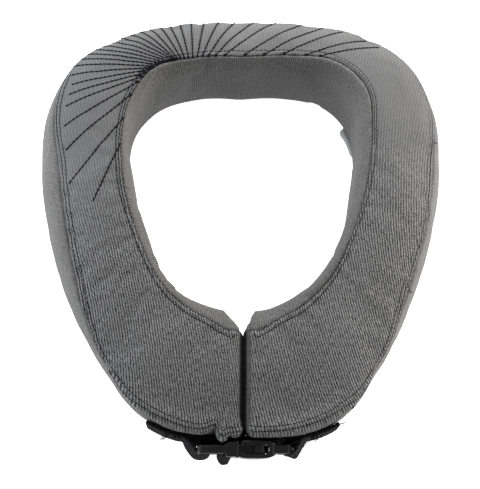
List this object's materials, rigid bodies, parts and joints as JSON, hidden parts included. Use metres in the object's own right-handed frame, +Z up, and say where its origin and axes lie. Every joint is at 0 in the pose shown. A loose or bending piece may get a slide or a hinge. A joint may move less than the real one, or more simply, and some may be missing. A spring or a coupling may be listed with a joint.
{
  "type": "racing neck collar",
  "caption": "Padded horseshoe collar worn round the neck in racing: ribbed grey cloth over foam, open at a front slit and held closed by webbing straps and a side-release buckle.",
  "frame": {"origin": "middle of the bounding box, on the surface the collar lies on", "axes": "+Z up, -Y towards the slit and the buckle, +X towards the buckle's socket"},
  "size_m": [0.2737, 0.3146, 0.066],
  "materials": {
    "ribbed_cloth": "matte ribbed weave",
    "plain_cloth": "matte plain weave",
    "foam": "matte foam",
    "webbing": "matte woven webbing",
    "buckle_plastic": "satin moulded plastic",
    "label_satin": "satin"
  },
  "bodies": {
    "root": {"foam_core": "foam", "top_panel": "ribbed_cloth", "outer_band": "plain_cloth", "base_panel": "plain_cloth", "neck_panel": "plain_cloth", "end_panel_left": "plain_cloth", "end_panel_right": "plain_cloth", "label_tab": "label_satin", "strap_left": "webbing", "strap_right": "webbing", "buckle_plug": "buckle_plastic", "buckle_socket": "buckle_plastic"}
  },
  "joints": []
}
